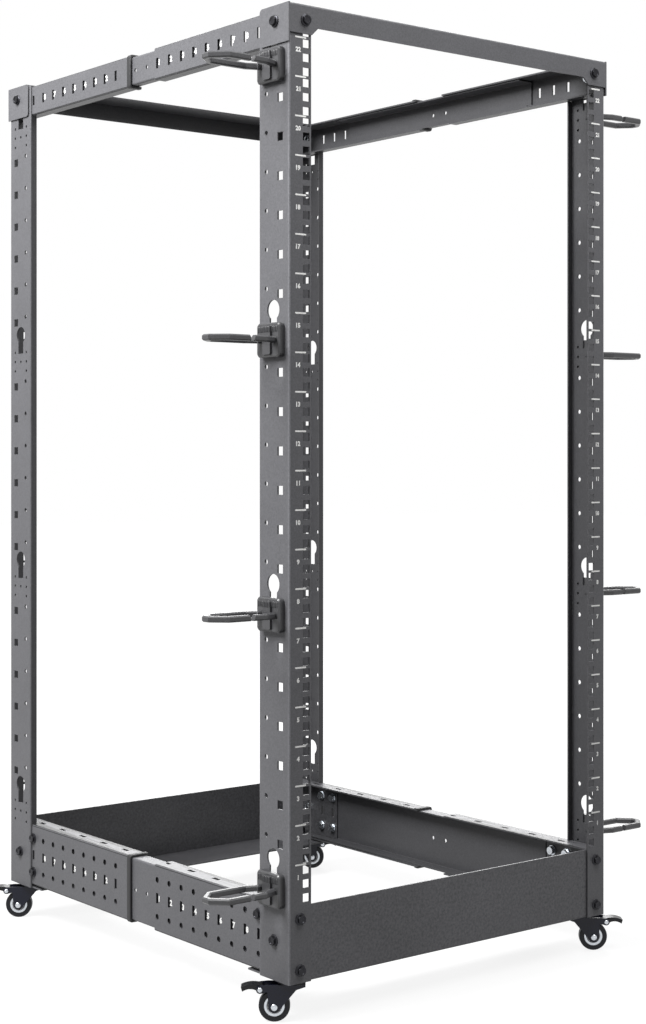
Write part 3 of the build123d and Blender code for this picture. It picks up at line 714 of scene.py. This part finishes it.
class RACK_OT_rail_marks(bpy.types.Operator):
    """Prints the white position numbers beside the slots of the side rails"""

    bl_idname = "rack.rail_marks"
    bl_label = "Print rail marks"

    def execute(self, context):
        marks = context.scene.rack_marks
        material = bpy.data.materials["screen_printed_ink"]
        low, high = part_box("left_top_rail_front")
        heights = {"top": (low[2] + high[2]) / 2, "base": FOOT + BASE_MIDDLE_MM * MM}
        digits = {number: lettering(str(number), marks.digit_height, marks.ink)
                  for number in range(1, COLUMNS)}
        for side, sx in SIDES.items():
            for level, height in heights.items():
                batches = []
                for end, sy in ENDS.items():
                    for number in range(1 if end == "front" else 2, COLUMNS):
                        inset = COLUMN_MM + COLUMN_PITCH_MM * (COLUMNS - number)
                        x, y, z = on_side(sx, sy, inset, height, RAIL_FACE_MM)
                        spot = (x, y + sx * marks.digit_offset, z)
                        batches.append(spread(*digits[number], [spot], [(sx, 0, 0)]))
                add_piece(f"rail_numbers_{side}_{level}", *joined(batches), material, "frame")
        return {"FINISHED"}


class RACK_OT_edge_strips(bpy.types.Operator):
    """Adds black strips round the front ends of the sleeves: painted shade for the shadowed edge and gap at
    each sleeve's end
    """

    bl_idname = "rack.edge_strips"
    bl_label = "Add edge strips"

    def execute(self, context):
        size = context.scene.rack_hardware
        material = moulded("black_strips_of_painted_shade", context.scene.rack_finishes.rubber, 0.55, 1.4)
        sheet = SHEET_MM * MM
        # Off the sheet's outer face, and along the rail from the sleeve's end: an L with a rounded nose.
        out, cover, nose = size.strip_thick, size.strip_cover, -size.strip_front
        profile = np.array([(0.0, cover), (out * 0.7, cover), (out, cover * 0.8), (out, nose * 0.5),
                            (out * 0.5, nose), (-sheet * 0.7, nose), (-sheet, nose * 0.6), (-sheet, 0.0),
                            (0.0, 0.0)])
        for side, sx in SIDES.items():
            for level in ("top", "base"):
                low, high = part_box(f"{side}_{level}_rail_rear")
                lower, upper = (reach * MM for reach in SLEEVE_FLANGES_MM[level])
                points, faces = self.strip(profile, low[2], high[2], lower, upper)
                points[:, 0] = sx * (HALF_WIDTH - RAIL_FACE_MM * MM - points[:, 0])
                points[:, 1] += -HALF_DEPTH + SLEEVE_START_MM * MM
                add_piece(f"painted_shade_strip_{side}_{level}", points, faces, material, "frame")
        return {"FINISHED"}

    def strip(self, profile, foot, top, lower, upper, bend=2.5 * MM, turns=6):
        """The profile carried along a C: in from the lower flange's tip, up the web, out to the upper tip.

        The path is a list of stations (x, z) on the sheet's outer face with an outward direction (a, b); a
        profile point (n, t) lands at (x + n a, t, z + n b). The ends are closed by rows drawn to a point."""
        quarter = np.linspace(0, np.pi / 2, turns)
        x = np.concatenate(([lower], bend - bend * np.sin(quarter), bend - bend * np.cos(quarter), [upper]))
        z = np.concatenate(([foot], foot + bend - bend * np.cos(quarter), top - bend + bend * np.sin(quarter),
                            [top]))
        a = np.concatenate(([0.0], -np.sin(quarter), -np.cos(quarter), [0.0]))
        b = np.concatenate(([-1.0], -np.cos(quarter), np.sin(quarter), [1.0]))
        along = np.stack((x[:, None] + profile[None, :, 0] * a[:, None],
                          np.repeat(profile[None, :, 1], len(x), axis=0),
                          z[:, None] + profile[None, :, 0] * b[:, None]), axis=-1)
        centre = along.mean(axis=1, keepdims=True)
        first = np.repeat(centre[:1], len(profile), axis=1)
        last = np.repeat(centre[-1:], len(profile), axis=1)
        rows = np.concatenate((first, along, last))
        return rows.reshape(-1, 3), grid_faces(len(rows), len(profile))


class RACK_OT_ring_ribs(bpy.types.Operator):
    """Adds the fine upright grip ribs on the plates of the cable rings"""

    bl_idname = "rack.ring_ribs"
    bl_label = "Add ring ribs"

    def execute(self, context):
        size = context.scene.rack_hardware
        half = size.rib_width / 2
        material = moulded("moulded_nylon_ribs", context.scene.rack_finishes.ring, 0.34, 1.6)
        # A rib is a half round carried upright and drawn to a point at both ends: at height t from its
        # middle its radius is the rib's half width times the fourth root of 1 - (t / reach) to the fourth.
        t = np.linspace(-1.0, 1.0, 7)
        swell = (1 - t ** 4) ** 0.25
        angle = np.arange(8) * np.pi / 4
        radius = half * swell[:, None]
        points = np.stack((radius * np.cos(angle), np.repeat(t[:, None] * size.rib_reach, 8, axis=1),
                           radius * np.sin(angle)), axis=-1).reshape(-1, 3)
        faces = grid_faces(len(t), 8)
        for side, sx in SIDES.items():
            batches = []
            for number in range(1, 5):
                low, high = (np.array(corner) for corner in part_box(f"{side}_cable_ring_{number}"))
                middle = (low + high) / 2
                up = -1 if (side, number) == FLIPPED_RING else 1
                z = middle[2] + up * ((RING_HALF_MM - RIB_DROP_MM) * MM - size.rib_reach)
                steps = np.arange(-RIBS_EACH_WAY, RIBS_EACH_WAY + 1) * size.rib_pitch
                rise = np.where(np.abs(steps) < RING_BOSS_HALF_MM * MM, RING_BOSS_RISE_MM, 0.0) * MM
                spots = np.stack((sx * (HALF_WIDTH + RING_PLATE_MM * MM + rise), middle[1] + steps,
                                  np.full(len(steps), z)), axis=-1)
                batches.append(spread(points, faces, spots, [(sx, 0, 0)] * len(spots)))
            add_piece(f"ring_ribs_{side}", *joined(batches), material, "frame", "ring_plastic",
                      sharp=60.0)
        return {"FINISHED"}


class RACK_OT_caster_pins(bpy.types.Operator):
    """Adds the round zinc heads of the caster axles and pedal pins"""

    bl_idname = "rack.caster_pins"
    bl_label = "Add caster pins"

    def execute(self, context):
        size = context.scene.rack_hardware
        material = plated("zinc_plated_steel_pins", context.scene.rack_finishes.zinc, 0.25, 1.5)
        for end, side, sx, sy in corners():
            stem, along, across = caster_lines(side, sx, sy)
            batches = []
            for (reach, height), radius in ((AXLE_MM, size.axle_radius), (PEDAL_PIN_MM, size.pin_radius)):
                # A shallow dome on a short rim: height falls as the square root of 1 - (r / R) squared.
                r = radius * np.cos(np.linspace(0, np.pi / 2, 5))
                dome = np.stack((r, 0.3 * radius + 0.45 * radius * np.sqrt(1 - (r / radius) ** 2)), axis=-1)
                rows = np.concatenate(([(0.0, 0.0), (radius, 0.0)], dome))
                points = turned_profile(rows, 20)
                faces = grid_faces(len(rows), 20)
                spots = [stem + (along * reach + across * sign * CHEEK_FACE_MM) * MM + (0, 0, height * MM)
                         for sign in (1, -1)]
                batches.append(spread(points, faces, spots, [across, -across]))
            add_piece(f"{end}_{side}_caster_pins", *joined(batches), material, f"{end}_{side}_caster_swivel",
                      "caster_zinc")
        return {"FINISHED"}


class RACK_OT_wheel_rings(bpy.types.Operator):
    """Adds the bright pressed rings on both faces of each caster wheel"""

    bl_idname = "rack.wheel_rings"
    bl_label = "Add wheel rings"

    def execute(self, context):
        size = context.scene.rack_hardware
        material = plated("zinc_plated_steel_wheel_rings", context.scene.rack_finishes.zinc, 0.3, 1.5)
        # A crowned ring round the axle: at angle v of its section the radius is the middle one plus half
        # the ring's width times cos v, and the height over the wheel's middle is its face's plus the
        # ring's rise times sin v.
        middle = (size.cover_outer + size.cover_inner) / 2
        half = (size.cover_outer - size.cover_inner) / 2
        v = np.arange(8) * np.pi / 4
        height = (WHEEL_FACE_MM + WHEEL_RING_RISE_MM * np.sin(v)) * MM
        rows = np.stack((middle + half * np.cos(v), height), axis=-1)
        points = turned_profile(rows, 40)
        faces = grid_faces(len(rows), 40, closed_rows=True)
        for end, side, sx, sy in corners():
            stem, along, across = caster_lines(side, sx, sy)
            axle = stem + along * AXLE_MM[0] * MM + (0, 0, AXLE_MM[1] * MM)
            ring = spread(points, faces, [axle, axle], [across, -across])
            add_piece(f"{end}_{side}_wheel_rings", *ring, material, f"{end}_{side}_caster_wheel",
                      "caster_zinc")
        return {"FINISHED"}


class RACK_OT_stage(bpy.types.Operator):
    """Sets the floor, the soft lamps, the surroundings and the camera"""

    bl_idname = "rack.stage"
    bl_label = "Set the stage"

    def execute(self, context):
        stage = context.scene.rack_stage
        context.scene.view_settings.view_transform = "Standard"
        self.floor(context, stage)
        self.surroundings(context, stage)
        self.lamp(context, "key_lamp", stage.key, *KEY_LAMP)
        self.lamp(context, "fill_lamp", stage.fill, *FILL_LAMP)
        self.lamp(context, "back_lamp", stage.back, *BACK_LAMP)
        self.camera(context)
        return {"FINISHED"}

    def floor(self, context, stage):
        """A plain floor at z = 0: a 2 by 2 grid of corners, x and y running over its width."""
        x, y = np.meshgrid((-FLOOR_REACH, FLOOR_REACH), (-FLOOR_REACH, FLOOR_REACH))
        points = np.stack((x.ravel(), y.ravel(), np.zeros(4)), axis=-1)
        mesh = bpy.data.meshes.new("floor")
        mesh.from_pydata(points.tolist(), [], [(0, 1, 3, 2)])
        material, tree, place = new_material("painted_plaster_floor")
        # A painted floor. Camera and reflections see a glow over its light, so it stays a white ground with
        # the rack's soft shadow on it, and it melts into the white surroundings further out.
        tone = add(tree, "ShaderNodeTexNoise", {"Vector": place, "Scale": 1.2, "Detail": 1.0})
        paint = add(tree, "ShaderNodeBsdfDiffuse",
                    {"Color": toned(tree, tone.outputs["Fac"], stage.floor, 0.99, 1.0)})
        away = add(tree, "ShaderNodeVectorMath", {0: place}, operation="LENGTH")
        whole = add(tree, "ShaderNodeMapRange", {"Value": away.outputs["Value"], "From Min": 0.5,
                                                 "From Max": 1.6, "To Min": stage.floor_glow, "To Max": 1.0})
        strength = add(tree, "ShaderNodeMath", {0: seen_rays(tree), 1: whole.outputs["Result"]},
                       operation="MULTIPLY")
        glow = add(tree, "ShaderNodeEmission", {"Strength": strength.outputs[0]})
        close(tree, add(tree, "ShaderNodeAddShader", {0: paint.outputs[0], 1: glow.outputs[0]}))
        mesh.materials.append(material)
        floor = bpy.data.objects.new("floor", mesh)
        context.scene.collection.objects.link(floor)

    def surroundings(self, context, stage):
        """White to the camera and to reflections, and a plain soft light to everything else."""
        world = bpy.data.worlds.new("white_studio")
        world.use_nodes = True
        tree = world.node_tree
        tree.nodes.clear()
        level = add(tree, "ShaderNodeMapRange", {"Value": seen_rays(tree), "To Min": stage.ambient,
                                                 "To Max": 1.0})
        light = add(tree, "ShaderNodeBackground",
                    {"Color": (1.0, 1.0, 1.0, 1.0), "Strength": level.outputs["Result"]})
        add(tree, "ShaderNodeOutputWorld", {"Surface": light.outputs[0]})
        context.scene.world = world

    def lamp(self, context, name, watts, width, place, target):
        """A square soft lamp at a place, turned to its target."""
        light = bpy.data.lights.new(name, "AREA")
        light.shape = "SQUARE"
        light.size = width
        light.energy = watts
        holder = bpy.data.objects.new(name, light)
        holder.location = place
        context.scene.collection.objects.link(holder)
        holder.rotation_euler = look(np.array(target) - np.array(place))

    def camera(self, context):
        """The photograph's viewpoint: level, a little left of the rack's front left corner."""
        lens = bpy.data.cameras.new("photo_camera")
        lens.sensor_width = 36.0
        lens.lens = CAMERA_LENS_MM
        lens.shift_y = CAMERA_SHIFT
        lens.clip_start = 0.05
        lens.clip_end = 60.0
        camera = bpy.data.objects.new("photo_camera", lens)
        camera.location = CAMERA_PLACE
        camera.rotation_euler = (np.pi / 2, 0.0, -np.radians(VIEW_TURN))
        context.scene.collection.objects.link(camera)
        context.scene.camera = camera


def look(direction):
    """The turn that points an object's own -Z along a direction and keeps its own +Y upward."""
    x, y, z = direction / np.linalg.norm(direction)
    return Euler((np.arccos(-z), 0.0, np.arctan2(y, x) - np.pi / 2))


OPERATORS = (RACK_OT_coatings, RACK_OT_screws, RACK_OT_nuts, RACK_OT_unit_marks, RACK_OT_rail_marks,
             RACK_OT_edge_strips, RACK_OT_ring_ribs, RACK_OT_caster_pins, RACK_OT_wheel_rings, RACK_OT_stage)
SETTINGS = {"rack_hardware": RackHardware, "rack_marks": RackMarks, "rack_finishes": RackFinishes,
            "rack_stage": RackStage}


class RACK_PT_sidebar(bpy.types.Panel):
    """Lists the steps and their settings"""

    bl_idname = "RACK_PT_sidebar"
    bl_label = "Open frame rack"
    bl_space_type = "VIEW_3D"
    bl_region_type = "UI"
    bl_category = "Rack"

    def draw(self, context):
        for operator in OPERATORS:
            self.layout.operator(operator.bl_idname)
        for name, group in SETTINGS.items():
            box = self.layout.box()
            for key in group.__annotations__:
                box.prop(getattr(context.scene, name), key)


def register():
    for cls in (*SETTINGS.values(), *OPERATORS, RACK_PT_sidebar):
        bpy.utils.register_class(cls)
    for name, group in SETTINGS.items():
        setattr(bpy.types.Scene, name, PointerProperty(type=group))


def unregister():
    for name in SETTINGS:
        delattr(bpy.types.Scene, name)
    for cls in (RACK_PT_sidebar, *reversed(OPERATORS), *SETTINGS.values()):
        bpy.utils.unregister_class(cls)


def main():
    register()
    bpy.ops.rack.coatings()
    bpy.ops.rack.screws()
    bpy.ops.rack.nuts()
    bpy.ops.rack.unit_marks()
    bpy.ops.rack.rail_marks()
    bpy.ops.rack.edge_strips()
    bpy.ops.rack.ring_ribs()
    bpy.ops.rack.caster_pins()
    bpy.ops.rack.wheel_rings()
    bpy.ops.rack.stage()


if __name__ == "__main__":
    main()
